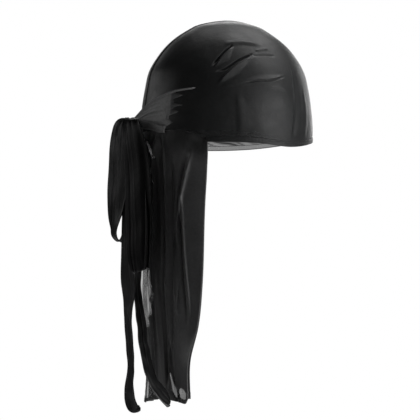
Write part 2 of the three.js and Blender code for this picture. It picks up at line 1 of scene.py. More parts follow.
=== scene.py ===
"""A silky black durag in its worn and tied form, in Blender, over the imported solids.

Sizes inside the shape functions are millimetres, and meshes are made in metres.
+X is the way the wearer faces, +Y is the wearer's left and +Z is up.
"""

import bmesh
import bpy
import numpy as np
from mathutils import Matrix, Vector

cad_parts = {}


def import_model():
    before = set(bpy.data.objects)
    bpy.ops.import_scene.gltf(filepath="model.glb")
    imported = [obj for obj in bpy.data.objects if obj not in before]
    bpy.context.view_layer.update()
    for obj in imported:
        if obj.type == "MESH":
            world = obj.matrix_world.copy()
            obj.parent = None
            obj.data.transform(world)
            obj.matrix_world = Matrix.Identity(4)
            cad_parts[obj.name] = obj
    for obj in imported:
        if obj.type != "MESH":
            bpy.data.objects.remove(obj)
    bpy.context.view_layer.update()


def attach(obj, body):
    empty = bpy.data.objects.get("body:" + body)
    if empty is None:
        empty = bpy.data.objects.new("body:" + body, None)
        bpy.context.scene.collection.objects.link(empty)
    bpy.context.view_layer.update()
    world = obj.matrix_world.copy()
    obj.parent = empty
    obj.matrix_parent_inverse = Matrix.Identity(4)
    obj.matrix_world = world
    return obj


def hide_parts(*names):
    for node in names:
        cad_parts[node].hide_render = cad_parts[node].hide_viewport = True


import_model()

MM = 0.001


def table(columns, rows):
    """A table's named columns as arrays."""
    return {name: np.array(values, float) for name, values in zip(columns.split(), zip(*rows))}


def even(columns, rows):
    """A table whose rows are evenly spaced, with the place of each row added."""
    made = table(columns, rows)
    made["at"] = np.linspace(0, 1, len(rows))
    return made


def column(rows, key, at):
    """A table's column at places between its rows, on one smooth curve."""
    ats, values = rows["at"], rows[key]
    at = np.asarray(at, float)
    k = np.clip(np.searchsorted(ats, at, side="left") - 1, 0, len(ats) - 2)
    before, after = np.maximum(k - 1, 0), np.minimum(k + 2, len(ats) - 1)
    span = ats[k + 1] - ats[k]
    t = (at - ats[k]) / span
    slope_a = (values[k + 1] - values[before]) / (ats[k + 1] - ats[before]) * span
    slope_b = (values[after] - values[k]) / (ats[after] - ats[k]) * span
    return (
        (2 * t**3 - 3 * t**2 + 1) * values[k]
        + (t**3 - 2 * t**2 + t) * slope_a
        + (3 * t**2 - 2 * t**3) * values[k + 1]
        + (t**3 - t**2) * slope_b
    )


def smoothstep(x, low, high):
    t = np.clip((x - low) / (high - low), 0, 1)
    return t * t * (3 - 2 * t)


def lerp(a, b, t):
    return a + (b - a) * t


def bump(x):
    """A smooth bump, 1 in its middle and 0 from one width away."""
    return np.where(np.abs(x) < 1, np.cos(np.pi / 2 * np.clip(x, -1, 1)) ** 2, 0)


def waves(x, y, seed, count=5, low=0.5, high=1.6):
    """Gentle unevenness: a few slanted sine waves, within about 1 either way."""
    random = np.random.default_rng(seed)
    total = 0
    for _ in range(count):
        angle, phase = random.uniform(0, 2 * np.pi, 2)
        pitch = random.uniform(low, high) * 2 * np.pi
        total = total + np.sin(pitch * (x * np.cos(angle) + y * np.sin(angle)) + phase)
    return total / count


def side_name(sign):
    """The wearer's side: -1 is the right and 1 the left."""
    return "right" if sign < 0 else "left"


# Sizes: lengths in millimetres, and turns in degrees round the crown from the brow

CROWN_FRONT_REACH = 96
CROWN_BACK_REACH = 101
CROWN_HALF_BREADTH = 78
CROWN_HEIGHT = 141
PANEL_GAP = 0.15
PANEL_WAVE = 0.35
LEFT_TUCK_SHARE = 0.7
SEAM_WIDTH = 6
SEAM_HEIGHT = 0.6
SEAM_RIPPLE = 0.05
SEAM_CLOTH = 0.6
HEM_HEIGHT = 5
HEM_CLOTH = 0.9
HEM_END_TURN = 121
HEM_OVERLAP = 0.6
HEM_TUCK = 0.5
HEM_SWELL = 0.35
PUCKER = 0.1
STITCH_DEPTH = 0.2
RIM_SHEER_FULL = 6
RIM_SHEER_END = 26
TAIL_EDGE_TURN = 120
TAIL_SEAM_RISE = 14
TAIL_SEAM_BLEND_TURN = 22
TAIL_DROP = 284
TAIL_SEAM_OVERLAP = 3
TAIL_SEWN_DEPTH = 1.1
TAIL_HALF_WIDTH = 62
TAIL_FOLD_RADIUS = 1.8
TAIL_SINK = 2.4
TAIL_DIMPLE = 2.5
TAIL_WAVE = 0.45
TAIL_SHEER_STOP = 3
TAIL_HEM_HEIGHT = 8
TAIL_HEM_EDGE = 1.5
TAIL_HEM_STEP = 0.7
TAIL_HEM_BOW = 4
TAIL_LEFT_SAG = 3
TAIL_CORNER_RISE = 7
WING_START_TURN = 126
WING_LEAVE_TURN = 152
WING_LEAVE_SHARE = 0.6
WING_HEIGHT = 60
LEFT_WING_DIP = 0.3
WING_PLEAT = 1.4
WING_FINE_PLEAT = 0.5
WING_BAND_LIFT = 0.8
WING_LIP = 0.9
WING_HIDDEN_DEPTH = 0.9
KNOT_STANDOFF = 11.5
KNOT_HEIGHT = 22.5
KNOT_RADIUS = 8.5
KNOT_STRETCH = (0.95, 1.08, 0.85)
KNOT_PLEAT = 0.7
KNOT = np.array([-CROWN_BACK_REACH - KNOT_STANDOFF, 0, KNOT_HEIGHT])
RIGHT_LOOP_DROP = 162
LEFT_LOOP_DROP = 129
LOOP_REACH = 20
LOOP_SPREAD = 28
RIGHT_LOOP_WIDTH = 35
LEFT_LOOP_WIDTH = 38
RIGHT_END_DROP = 304.5
LEFT_END_DROP = 312.5
END_WIDTH = 30
TIP_BLUNTNESS = 0.12
TIE_CLOTH = 0.8
CLOTH = 0.7

# Shares: how sheer the near rim is beside the far one, how far painted shade darkens
# the cloth's colour or painted light lightens it, and how deep the knot's grooves are
# beside its radius
NEAR_RIM_SHEER = 0.15
FINGER_PAINTED_SHADE = 0.62
TAIL_TOP_PAINTED_SHADE = 0.7
TAIL_TOP_PAINTED_LIGHT = 2.2
KNOT_GROOVE = 0.13

# Counts of points along and across a tie
TIE_STEPS = 260
TIE_ACROSS = 41

# The crown from its rim to its top, as shares of its height, its reaches and its
# half breadth. The row past the top keeps the curve level there.
CROWN_SECTIONS = table(
    "at rise reach side",
    [
        (0, 0, 0.985, 0.975),
        (1, 0.14, 1, 1),
        (2, 0.3, 0.987, 0.985),
        (3, 0.45, 0.955, 0.935),
        (4, 0.59, 0.908, 0.855),
        (5, 0.715, 0.802, 0.745),
        (6, 0.82, 0.668, 0.605),
        (7, 0.905, 0.5, 0.44),
        (8, 0.965, 0.321, 0.27),
        (9, 1, 0, 0),
        (10, 0.965, -0.321, -0.27),
    ],
)
CROWN_TOP = 9

# The rim's rise at degrees from the brow, as shares of the crown's height
RIM_SECTIONS = table(
    "at right left",
    [
        (0, 0.075, 0.075),
        (30, 0.022, 0.042),
        (60, -0.021, 0.012),
        (90, 0, 0),
        (120, 0.003, 0.003),
        (180, 0.003, 0.003),
    ],
)

# The tail's plan from its seam to its hem, as shares of the crown's back reach and
# half breadth, and the width of the flap that is turned under its right edge
TAIL_SECTIONS = table(
    "at right_x right_y back_x left_x left_y flap",
    [
        (0, -0.475, -0.85, -0.995, -0.475, 0.85, 0.03),
        (0.1, -0.495, -0.85, -0.98, -0.525, 0.84, 0.14),
        (0.27, -0.525, -0.84, -0.935, -0.66, 0.79, 0.34),
        (0.54, -0.545, -0.81, -0.89, -0.9, 0.67, 0.38),
        (0.73, -0.605, -0.8, -0.845, -0.86, 0.7, 0.33),
        (0.86, -0.71, -0.78, -0.81, -0.785, 0.745, 0.14),
        (1, -0.715, -0.77, -0.79, -0.805, 0.745, 0.06),
    ],
)

# A wing's lower and upper edge from the crown's side to the knot, as shares of its
# height, and how far it stands out from the crown in millimetres
WING_SECTIONS = table(
    "at low high out",
    [
        (0, 0.8, 1.0, 0.7),
        (0.2, 0.55, 0.99, 0.7),
        (0.4, 0.3, 0.96, 0.8),
        (0.6, 0.19, 0.9, 1),
        (0.8, 0.26, 0.75, 1),
        (1, 0.32, 0.48, 1),
    ],
)

# Paths of the ties from the knot, as shares of the tie's drop, LOOP_REACH and
# LOOP_SPREAD, with the share of the tie's width and its twist in degrees
RIGHT_LOOP = even(
    "drop back side width twist",
    [
        (-0.006, 0, 0.12, 0.2, 0),
        (-0.035, 0.32, 0.34, 0.42, 0),
        (0.005, 0.5, 0.56, 0.66, 0),
        (0.127, 0.42, 0.76, 0.86, 0),
        (0.367, 0.26, 0.9, 1, 0),
        (0.64, 0.22, 0.94, 1, 0),
        (0.867, 0.2, 0.94, 0.9, 0),
        (0.98, 0.12, 0.94, 0.76, 0),
        (1, 0, 0.92, 0.72, 0),
        (0.96, -0.1, 0.9, 0.74, 0),
        (0.7, -0.14, 0.84, 0.8, 0),
        (0.367, -0.12, 0.7, 0.66, 0),
        (0.15, -0.08, 0.4, 0.4, 0),
        (0.05, -0.02, 0.22, 0.22, 0),
    ],
)
LEFT_LOOP = even(
    "drop back side width twist",
    [
        (-0.007, 0, 0.12, 0.16, 0),
        (-0.04, 0.36, 0.34, 0.4, 0),
        (0.02, 0.6, 0.46, 0.75, 0),
        (0.19, 0.66, 0.56, 1, 0),
        (0.46, 0.7, 0.63, 1.04, 0),
        (0.7, 0.78, 0.69, 0.88, 0),
        (0.86, 0.84, 0.77, 0.7, 14),
        (0.955, 0.76, 0.83, 0.56, 20),
        (1, 0.4, 0.9, 0.46, 14),
        (0.955, 0.06, 0.95, 0.44, 6),
        (0.74, -0.16, 0.95, 0.6, 0),
        (0.42, -0.08, 0.87, 0.92, 0),
        (0.18, -0.02, 0.55, 0.66, 0),
        (0.06, -0.02, 0.24, 0.2, 0),
    ],
)
RIGHT_END = even(
    "drop back side width twist",
    [
        (0.01, -0.12, 0.02, 0.2, 0),
        (0.06, -0.36, 0.02, 0.35, 0),
        (0.2, -0.44, 0, 0.75, 0),
        (0.36, -0.44, -0.06, 0.8, 0),
        (0.5, -0.32, -0.2, 0.8, 0),
        (0.57, -0.26, -0.14, 0.74, 0),
        (0.645, -0.3, -0.07, 0.86, 0),
        (0.716, -0.4, 0.04, 1, 0),
        (0.792, -0.48, 0.12, 0.98, 0),
        (0.853, -0.6, 0.28, 0.88, -4),
        (0.915, -0.76, 0.52, 0.74, -8),
        (0.962, -1.02, 1, 0.72, -12),
        (1, -1.28, 1.8, 0.66, -14),
    ],
)
LEFT_END = even(
    "drop back side width twist",
    [
        (0.015, 0.05, 0.06, 0.25, 0),
        (0.08, 0.24, 0.08, 0.4, -6),
        (0.2, 0.32, 0.04, 0.5, -10),
        (0.37, 0.32, 0.02, 0.68, -12),
        (0.5, 0.32, 0.02, 0.78, -12),
        (0.595, 0.2, 0.03, 1, -2),
        (0.66, 0.22, 0.06, 0.74, 0),
        (0.71, 0.22, 0.06, 0.62, 0),
        (0.77, 0.15, 0.02, 0.69, 0),
        (0.82, 0.12, 0, 0.61, 0),
        (0.865, 0.1, 0, 0.57, 0),
        (0.91, 0.18, 0.02, 0.69, 0),
        (0.95, 0.17, 0.03, 0.68, -6),
        (0.978, 0.12, 0.02, 0.56, -20),
        (0.996, 0, 0, 0.42, -50),
        (1, -0.2, 0, 0.33, -74),
        (0.994, -0.38, -0.02, 0.28, -84),
    ],
)

# The wing comes out of the crown's cloth along this line: its place round the
# crown, in degrees from the brow, at each height in millimetres
WING_FRONT = table(
    "height turn",
    [
        (10, 153),
        (18, 150),
        (20, 147),
        (22.5, 143.5),
        (26, 147.5),
        (30, 147.5),
        (32, 142),
        (34, 139.5),
        (36.5, 145),
        (39, 143),
        (41, 136.5),
        (43, 144),
        (48, 144.5),
        (50.5, 139),
        (52, 137),
        (54, 142.5),
        (56, 143.5),
        (57.3, 136),
        (58.4, 130),
        (60, 128),
    ],
)

# The upper edge of the wing's lower band, as a share of the wing's height
WING_BAND = table("along up", [(0.55, 0.15), (0.6, 0.17), (0.83, 0.33), (1, 0.4)])

# Tucks and creases of a crown panel. Each follows a line of places, given as
# degrees from the brow and millimetres above the rim. Lip is how far the cloth to
# the line's left stands out, edge half the width of the lip's steep side and soft
# how far the cloth takes to fall back. Groove is the depth of a furrow along the
# line, or a ridge where it is negative, and cut its half width, in millimetres.
CROWN_TUCKS = [
    # lip, edge, soft, groove, cut, turns, rises
    (3.0, 1.0, 9.5, 2.8, 2.6, (101.0, 106.0, 110.4, 117.0), (108.0, 102.5, 95.6, 82.5)),
    (0, 1, 1, 3.2, 1.8, (85.0, 92.0, 98.7, 107.5, 116.0), (99.6, 95.5, 90.4, 81.0, 77.0)),
    (2.6, 0.8, 9, 0, 1, (86.0, 98.7, 107.0, 115.0), (96.5, 87.2, 75.7, 62.0)),
    (0, 1, 1, -1.3, 4.5, (110.0, 100.0, 91.9, 72.0), (108.6, 111.3, 112.3, 110.3)),
    (0, 1, 1, -1.1, 1.8, (83.0, 75.0, 68.0), (102.6, 104.6, 105.9)),
    (0, 1, 1, 1.3, 1.6, (87.0, 80.0, 73.0, 64.0), (96.7, 97.6, 98.4, 98.0)),
    (1.5, 0.5, 7, 1.8, 1.3, (99.0, 86.1, 76.8, 60.5), (65.0, 68.7, 69.2, 75.6)),
    (0.8, 0.6, 5, 0, 1, (78.0, 70.0, 61.0), (61.2, 59.6, 57.2)),
    (0.5, 1.5, 7, 0, 1, (112.0, 90.0), (60.0, 66.0)),
    (-1.3, 3, 12, 0, 1, (50.0, 60.0), (98.0, -6.0)),
    (1.0, 3, 9, 0, 1, (40.0, 46.0), (70.0, -4.0)),
    (0.9, 4, 14, 0, 1, (101.0, 99.0), (58.0, -10.0)),
]

# Folds of the tail. Across runs from its right edge at -1 to its left edge at 1,
# and fall from its seam at 0 to its hem at 1. Each fold passes through three to
# five places. Width and depth are its half width across and its height in
# millimetres, and a negative depth is a furrow. Sharp is 1 for a pressed crease.
TAIL_FOLDS = [
    # depth, width, sharp, falls, acrosses
    (3.2, 0.085, 0.9, (0.0, 0.15, 0.4, 0.6, 0.72), (-0.37, -0.215, -0.09, 0.09, 0.45)),
    (-5, 0.065, 0.3, (0.02, 0.26, 0.4, 0.6, 0.95), (-0.385, -0.33, -0.3, -0.25, -0.2)),
    (3.4, 0.055, 1, (0.02, 0.24, 0.4, 0.59, 0.9), (-0.43, -0.425, -0.415, -0.375, -0.33)),
    (3.2, 0.05, 1, (0.06, 0.16, 0.25, 0.35, 0.45), (-0.83, -0.745, -0.68, -0.61, -0.6)),
    (-3.2, 0.06, 0.4, (0.06, 0.16, 0.25, 0.35, 0.45), (-0.78, -0.69, -0.62, -0.56, -0.54)),
    (2.6, 0.04, 1, (0.2, 0.34, 0.43, 0.54, 0.7), (-0.66, -0.69, -0.718, -0.755, -0.83)),
    (-2.4, 0.05, 0.5, (0.24, 0.34, 0.43, 0.54, 0.7), (-0.6, -0.64, -0.66, -0.69, -0.77)),
    (1.8, 0.04, 1, (0.36, 0.46, 0.55, 0.62, 0.7), (-0.57, -0.527, -0.53, -0.55, -0.63)),
    (-2.6, 0.07, 0.3, (0.1, 0.4, 0.6, 0.8, 1), (-0.52, -0.5, -0.46, -0.46, -0.5)),
    (2.4, 0.06, 0.9, (0.55, 0.7, 0.8, 0.92, 1), (-0.62, -0.56, -0.5, -0.47, -0.5)),
    (-3.5, 0.05, 0.5, (0.72, 0.8, 0.88, 0.94, 1), (-0.3, -0.36, -0.42, -0.5, -0.6)),
    (2.8, 0.07, 0.8, (0.0, 0.2, 0.5, 0.8, 1), (0.06, 0.04, 0.12, 0.2, 0.22)),
    (-6, 0.08, 0.4, (0.0, 0.2, 0.5, 0.8, 1), (0.2, 0.17, 0.2, 0.3, 0.34)),
    (2.8, 0.07, 0.8, (0.0, 0.2, 0.5, 0.8, 1), (0.36, 0.32, 0.3, 0.4, 0.44)),
    (-6, 0.08, 0.4, (0.0, 0.2, 0.5, 0.8, 1), (0.5, 0.46, 0.42, 0.5, 0.54)),
    (2.8, 0.07, 0.8, (0.0, 0.2, 0.5, 0.8, 1), (0.64, 0.6, 0.56, 0.62, 0.66)),
    (-5, 0.07, 0.4, (0.0, 0.2, 0.5, 0.8, 1), (0.78, 0.74, 0.7, 0.74, 0.78)),
    (2, 0.06, 0.7, (0.0, 0.2, 0.5, 0.8, 1), (0.9, 0.88, 0.85, 0.87, 0.9)),
]

# Places where the tail is one thin layer: how sheer each is, as a multiple of the
# satin's own share of clear cloth, half the width of its soft edge in millimetres,
# and its corners, each an across and a fall.
THIN_PLACES = [
    (
        1.5,
        0.8,
        [
            (0.8, 0.5), (0.3, 0.5), (0.17, 0.56), (0.07, 0.6),
            (0.16, 0.65), (0.33, 0.69), (0.55, 0.73), (0.8, 0.74),
        ],
    ),
    (1.3, 8, [(1.4, 0.47), (0.62, 0.47), (0.62, 0.715), (1.4, 0.715)]),
    (1.1, 0.8, [(0.97, 0.915), (0.75, 0.925), (0.45, 0.955), (0.2, 0.988), (0.97, 0.99)]),
    (
        0.85,
        0.8,
        [(-0.31, 0.9), (-0.36, 0.9), (-0.47, 0.94), (-0.59, 0.985), (-0.5, 0.985), (-0.38, 0.955)],
    ),
    (
        0.9,
        0.8,
        [
            (-0.64, 0.985), (-0.65, 0.955), (-0.73, 0.945),
            (-0.86, 0.948), (-0.94, 0.965), (-0.94, 0.985),
        ],
    ),
    (
        1.4,
        0.8,
        [(-0.04, 0.04), (-0.13, 0.043), (-0.2, 0.072), (-0.28, 0.108), (-0.22, 0.11), (-0.12, 0.078)],
    ),
    (1.0, 0.8, [(-0.05, 0.142), (-0.12, 0.147), (-0.2, 0.2), (-0.15, 0.208)]),
    (1.1, 9, [(0.5, 0.05), (0.78, 0.05), (0.78, 0.2), (0.5, 0.2)]),
]


# Shapes


def head_reach(turn):
    """The crown's reach from its middle, to the brow or to the back."""
    return np.where(np.cos(turn) > 0, CROWN_FRONT_REACH, CROWN_BACK_REACH)


def rim_height(turn):
    """The height of the crown's lower edge round the head."""
    away = np.abs(np.degrees(turn))
    right = column(RIM_SECTIONS, "right", away)
    left = column(RIM_SECTIONS, "left", away)
    return np.where(turn < 0, right, left) * CROWN_HEIGHT


def crown_edge(turn):
    """The height at which the crown meets its hem, or the tail at the back."""
    away = np.abs(np.degrees(turn))
    climb = smoothstep(away, TAIL_EDGE_TURN, TAIL_EDGE_TURN + TAIL_SEAM_BLEND_TURN)
    return lerp(rim_height(turn) + HEM_HEIGHT, TAIL_SEAM_RISE, climb)


LEVELS = np.linspace(0, CROWN_TOP, 4001)
LEVEL_RISES = column(CROWN_SECTIONS, "rise", LEVELS)


def level_at(height):
    """The place in CROWN_SECTIONS at a height."""
    return np.interp(np.maximum(height / CROWN_HEIGHT, 0), LEVEL_RISES, LEVELS)


def crown_point(turn, climb):
    """The crown's smooth outer face. Climb runs from 0 at the lower edge to 1."""
    edge = crown_edge(turn)
    level = lerp(level_at(edge), CROWN_TOP, climb)
    reach = column(CROWN_SECTIONS, "reach", level) * head_reach(turn)
    side = column(CROWN_SECTIONS, "side", level) * CROWN_HALF_BREADTH
    rise = column(CROWN_SECTIONS, "rise", level) * CROWN_HEIGHT
    rise = rise + np.minimum(edge, 0) * np.maximum(1 - 3 * climb, 0)
    return np.stack([reach * np.cos(turn), side * np.sin(turn), rise], -1)


def crown_plan(turn, height, out=0):
    """The crown's outline at a height, moved out from its outer face."""
    level = level_at(height)
    reach = column(CROWN_SECTIONS, "reach", level) * head_reach(turn)
    side = column(CROWN_SECTIONS, "side", level) * CROWN_HALF_BREADTH
    nx, ny = np.cos(turn) / reach, np.sin(turn) / side
    length = np.hypot(nx, ny)
    x = reach * np.cos(turn) + nx / length * out
    y = side * np.sin(turn) + ny / length * out
    return np.stack([x, y, np.broadcast_to(height, x.shape)], -1)


def nearest_on(x, y, line):
    """Each point's place along a line of points, from 0 to 1, and its distance to
    the left of the line."""
    steps = np.diff(line, axis=0)
    runs = np.hypot(steps[:, 0], steps[:, 1])
    starts = np.concatenate([[0], np.cumsum(runs)])
    best = np.full(x.shape, np.inf)
    along, left = np.zeros(x.shape), np.zeros(x.shape)
    for (ax, ay), (dx, dy), run, start in zip(line, steps, runs, starts):
        t = np.clip(((x - ax) * dx + (y - ay) * dy) / run**2, 0, 1)
        far = np.hypot(x - ax - t * dx, y - ay - t * dy)
        nearer = far < best
        side = np.where(dx * (y - ay) - dy * (x - ax) < 0, -far, far)
        best = np.where(nearer, far, best)
        left = np.where(nearer, side, left)
        along = np.where(nearer, (start + t * run) / starts[-1], along)
    return along, left


def tuck_height(turn, rise):
    """How far the tucks lift the crown's cloth, with a steep side to each."""
    radius = 0.5 * (CROWN_FRONT_REACH + CROWN_HALF_BREADTH)
    x = -radius * np.abs(turn)
    total = np.zeros_like(x)
    for lip, edge, soft, groove, cut, turns, rises in CROWN_TUCKS:
        rows = even("turn rise", list(zip(turns, rises)))
        share = np.linspace(0, 1, 13)
        run = -radius * np.radians(column(rows, "turn", share))
        line = np.stack([run, column(rows, "rise", share)], -1)
        along, left = nearest_on(x, rise, line)
        ends = smoothstep(along, 0, 0.22) * (1 - smoothstep(along, 0.75, 1))
        fall = soft * (0.35 + 0.65 * bump(2 * along - 1))
        raised = smoothstep(left, -edge, edge) * np.clip(1 - np.maximum(left, 0) / fall, 0, 1) ** 1.2
        total = total + ends * (lip * raised - groove * bump((left + 0.3 * cut * (lip > 0)) / cut))
    return total


def wing_point(sign, along, up):
    """A tie wing's middle surface with its pleats, from the crown's side to the
    knot. Its front part lies hidden under the crown's cloth."""
    low = column(WING_SECTIONS, "low", along) * WING_HEIGHT
    drawn_down = LEFT_WING_DIP * bump((along - 0.75) / 0.35) if sign > 0 else 0
    high = (column(WING_SECTIONS, "high", along) - drawn_down) * WING_HEIGHT
    height = lerp(low, high, up)
    held = np.minimum(along / WING_LEAVE_SHARE, 1)
    degrees = lerp(WING_START_TURN, WING_LEAVE_TURN, held)
    turn = sign * np.radians(degrees)
    gather = smoothstep(along, 0.45, 0.85) * lerp(1, 0.5, along)
    fan = up + 0.04 * np.sin(7 * up + 2 * sign) * (1 - along)
    ribs = 1 - np.abs(np.sin(np.pi * (3.4 * fan + 0.3 * sign + 0.25 * along)))
    fine = 1 - np.abs(np.sin(np.pi * (8.7 * fan - 0.4 * along)))
    pleat = gather * (WING_PLEAT * ribs**1.6 + WING_FINE_PLEAT * fine**1.5)
    edge = np.interp(along, WING_BAND["along"], WING_BAND["up"])
    band = WING_BAND_LIFT * (1 - smoothstep(up, edge - 0.04, edge + 0.02))
    band = band - bump((up - edge - 0.03) / 0.04)
    lip = WING_LIP * smoothstep(up, 0.93, 0.975)
    front = np.interp(height, WING_FRONT["height"], WING_FRONT["turn"])
    shown = np.where(along < WING_LEAVE_SHARE, smoothstep(degrees, front - 0.5, front + 2.5), 1)
    out = column(WING_SECTIONS, "out", along) + pleat + band + lip
    out = lerp(-WING_HIDDEN_DEPTH, out, shown)
    on_head = crown_plan(turn, np.maximum(height, 0), out)
    free = np.maximum(along - WING_LEAVE_SHARE, 0) / (1 - WING_LEAVE_SHARE)
    x = lerp(on_head[..., 0], KNOT[0], free)
    y = lerp(on_head[..., 1], KNOT[1], free)
    return np.stack([x, y, height], -1)


def tail_outline(across, fall, corner=None):
    """The tail's smooth outline at each level, without its pleats. Corner is the
    place whose share of the rounded corner the hem follows."""
    pick = {key: column(TAIL_SECTIONS, key, fall) for key in TAIL_SECTIONS if key != "at"}
    to_left = smoothstep(across, -0.35, 0.35)
    edge_x = lerp(pick["right_x"], pick["left_x"], to_left) * CROWN_BACK_REACH
    edge_y = lerp(-pick["right_y"], pick["left_y"], to_left) * CROWN_HALF_BREADTH
    back_x = pick["back_x"] * CROWN_BACK_REACH
    swing = np.radians(180 - TAIL_EDGE_TURN)
    turn = np.where(across < 0, -np.pi, np.pi) - across * swing
    top = crown_edge(turn) + TAIL_SEAM_OVERLAP
    bow, sag = TAIL_HEM_BOW * (1 - across * across), TAIL_LEFT_SAG * np.maximum(across, 0)
    corner = across if corner is None else corner
    bottom = -TAIL_DROP + bow - sag + TAIL_CORNER_RISE * smoothstep(-corner, 0.84, 1.02) ** 2
    sewn = crown_plan(turn, np.maximum(top, 0), -TAIL_SEWN_DEPTH)
    bend = (1 - np.cos(across * swing)) / (1 - np.cos(swing))
    x = back_x + (edge_x - back_x) * bend
    y = edge_y * np.sin(across * swing) / np.sin(swing)
    free = smoothstep(fall, 0, 0.12)
    return np.stack(
        [lerp(sewn[..., 0], x, free), lerp(sewn[..., 1], y, free), lerp(top, bottom, fall)], -1
    )


def tail_outward(across, fall):
    """The level direction that faces out of the tail's outline."""
    step = 1e-3
    along = tail_outline(across + step, fall) - tail_outline(across - step, fall)
    out = np.stack([-along[..., 1], along[..., 0], 0 * fall], -1)
    return out / np.linalg.norm(out, axis=-1, keepdims=True)


def tail_pleats(across, fall):
    """How far the tail's cloth stands out from its outline, in its folds."""
    total = -TAIL_SINK * smoothstep(fall, 0.03, 0.2)
    t = np.clip(fall, 0, 1)
    for k, (depth, width, sharp, falls, places) in enumerate(TAIL_FOLDS):
        rows = table("at place", list(zip(falls, places)))
        place = column(rows, "place", np.clip(t, falls[0], falls[-1]))
        place = place + 0.006 * np.sin(17 * t + 5 * k)
        x = (across - place) / (width * (1 + 0.25 * np.sin(6 * t + 2.3 * k)))
        soft = bump(x)
        crest = np.exp(-np.abs(x) * 3.2) * bump(x / 1.8)
        strength = smoothstep(t, falls[0] - 0.01, falls[0] + 0.09)
        if falls[-1] < 0.99:
            strength = strength * (1 - smoothstep(t, falls[-1] - 0.08, falls[-1] + 0.03))
        strength = strength * smoothstep(t, 0, 0.06) * (1 + 0.2 * np.sin(11 * t + 1.7 * k))
        total = total + depth * strength * lerp(soft, crest, sharp)
    dimple = TAIL_DIMPLE * bump((across + 0.86) / 0.13) * bump((t - 0.045) / 0.045)
    unevenness = TAIL_WAVE * waves(across * 3, fall * 4, 11) * smoothstep(fall, 0.05, 0.3)
    return total - dimple + unevenness


def tail_point(across, fall):
    """The tail's middle surface. From -1 to -2 it goes round the folded right
    edge, and from -2 to -3 along the flap that is turned under."""
    radius = TAIL_FOLD_RADIUS * lerp(0.35, 1, smoothstep(fall, 0, 0.15))
    edge = np.full_like(across, -1)
    on_sheet = np.maximum(across, -1)
    pleats = tail_pleats(on_sheet, fall)[..., None]
    main = tail_outline(on_sheet, fall) + tail_outward(on_sheet, fall) * pleats
    out = tail_outward(edge, fall)
    forward = np.stack([out[..., 1], -out[..., 0], 0 * fall], -1)
    rim = tail_outline(edge, fall) + out * tail_pleats(edge, fall)[..., None]
    angle = np.clip(-1 - across, 0, 1) * np.pi
    fold = rim + (
        out * (radius * (np.cos(angle) - 1))[..., None]
        + forward * (radius * np.sin(angle))[..., None]
    )
    share = np.clip(-2 - across, 0, 1)
    under = -1 + share * column(TAIL_SECTIONS, "flap", fall)
    depth = tail_pleats(under, fall) - 2 * radius
    flap = tail_outline(under, fall, edge) + tail_outward(under, fall) * depth[..., None]
    made = np.where((across > -1)[..., None], main, fold)
    return np.where((across < -2)[..., None], flap, made)


def ribbon_points(rows, sign, drop, width, facing, folds, seed):
    """A folded tie along its table's path, as a grid of points. Facing turns it
    round the upright, in degrees."""
    t = np.linspace(0, 1, TIE_STEPS)

    def place(at):
        return np.stack(
            [
                KNOT[0] - column(rows, "back", at) * LOOP_REACH,
                KNOT[1] + sign * column(rows, "side", at) * LOOP_SPREAD,
                KNOT[2] - column(rows, "drop", at) * drop,
            ],
            -1,
        )

    here = place(t)
    tangent = place(np.minimum(t + 1e-3, 1)) - place(np.maximum(t - 1e-3, 0))
    tangent /= np.linalg.norm(tangent, axis=1, keepdims=True)
    reach = np.radians(facing)
    sideways = np.array([np.sin(reach), np.cos(reach), 0.0])
    across = sideways - tangent * (tangent @ sideways)[:, None]
    across /= np.linalg.norm(across, axis=1, keepdims=True)
    turned = np.cross(tangent, across)
    twist = np.radians(column(rows, "twist", t))[:, None]
    across = across * np.cos(twist) + turned * np.sin(twist)
    out = np.cross(tangent, across)
    tip = np.sqrt(np.minimum((1 - t) / folds.get("round", 1e-6) + TIP_BLUNTNESS, 1))
    half = column(rows, "width", t) * width * tip / 2
    s, tt = np.meshgrid(np.linspace(-1, 1, TIE_ACROSS), t, indexing="xy")
    hh = half[:, None]
    lift = folds["curl"] * (hh / width) * 2 * (s * s - 0.35)
    lift = lift + folds.get("bend", 0) * smoothstep(-s, -0.2, 1) ** 2 * (hh / width) * 2
    for k, (centre, depth, breadth, drift) in enumerate(folds["rows"]):
        x = (s - centre - drift * np.sin(5 * tt + 2.1 * k)) / breadth
        crest = np.exp(-np.abs(x) * 2.6) * bump(x / 2)
        lift = lift + depth * crest * (0.6 + 0.4 * np.sin(13 * tt + k))
    lift = lift + folds["ripple"] * waves(s * 0.6, tt * 9, seed)
    inner = s + 0.05 * np.sin(9 * tt + 3 * s)
    return (
        here[:, None, :]
        + across[:, None, :] * (inner * hh)[..., None]
        + out[:, None, :] * lift[..., None]
    )


# Meshes

# Points nearer than this are one point, in metres
JOIN_DISTANCE = 2e-6


def surface_normals(points):
    """Unit normals of a grid of points."""
    du = np.gradient(points, axis=0)
    dv = np.gradient(points, axis=1)
    n = np.cross(du, dv)
    length = np.linalg.norm(n, axis=-1, keepdims=True)
    return n / np.maximum(length, 1e-9)


def lengths(points, axis):
    """Distances along a grid's middle line, for texture coordinates in metres."""
    middle = points.shape[1 - axis] // 2
    line = points[:, middle] if axis == 0 else points[middle]
    steps = np.linalg.norm(np.diff(line, axis=0), axis=1)
    return np.concatenate([[0], np.cumsum(steps)]) * MM


